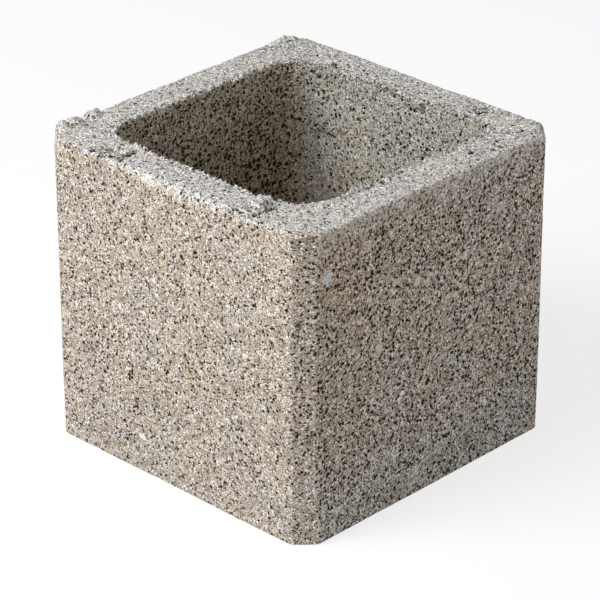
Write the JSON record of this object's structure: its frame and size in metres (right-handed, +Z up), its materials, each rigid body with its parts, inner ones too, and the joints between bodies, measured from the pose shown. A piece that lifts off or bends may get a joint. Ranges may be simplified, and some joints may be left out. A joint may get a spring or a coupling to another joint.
{
  "type": "hollow concrete pier block",
  "caption": "Hollow square concrete block with an open core, flattened upright corners and a flat rim, laid in courses to build a pier or pillar.",
  "frame": {"origin": "middle of the bed, the face that the block stands on", "axes": "+Z up the open core, from the bed to the rim; X and Y square to the outer faces"},
  "size_m": [0.25, 0.25, 0.23],
  "materials": {
    "concrete": "open-textured dry-cast concrete, granular and matt"
  },
  "bodies": {
    "root": {"block": "concrete"}
  },
  "joints": []
}
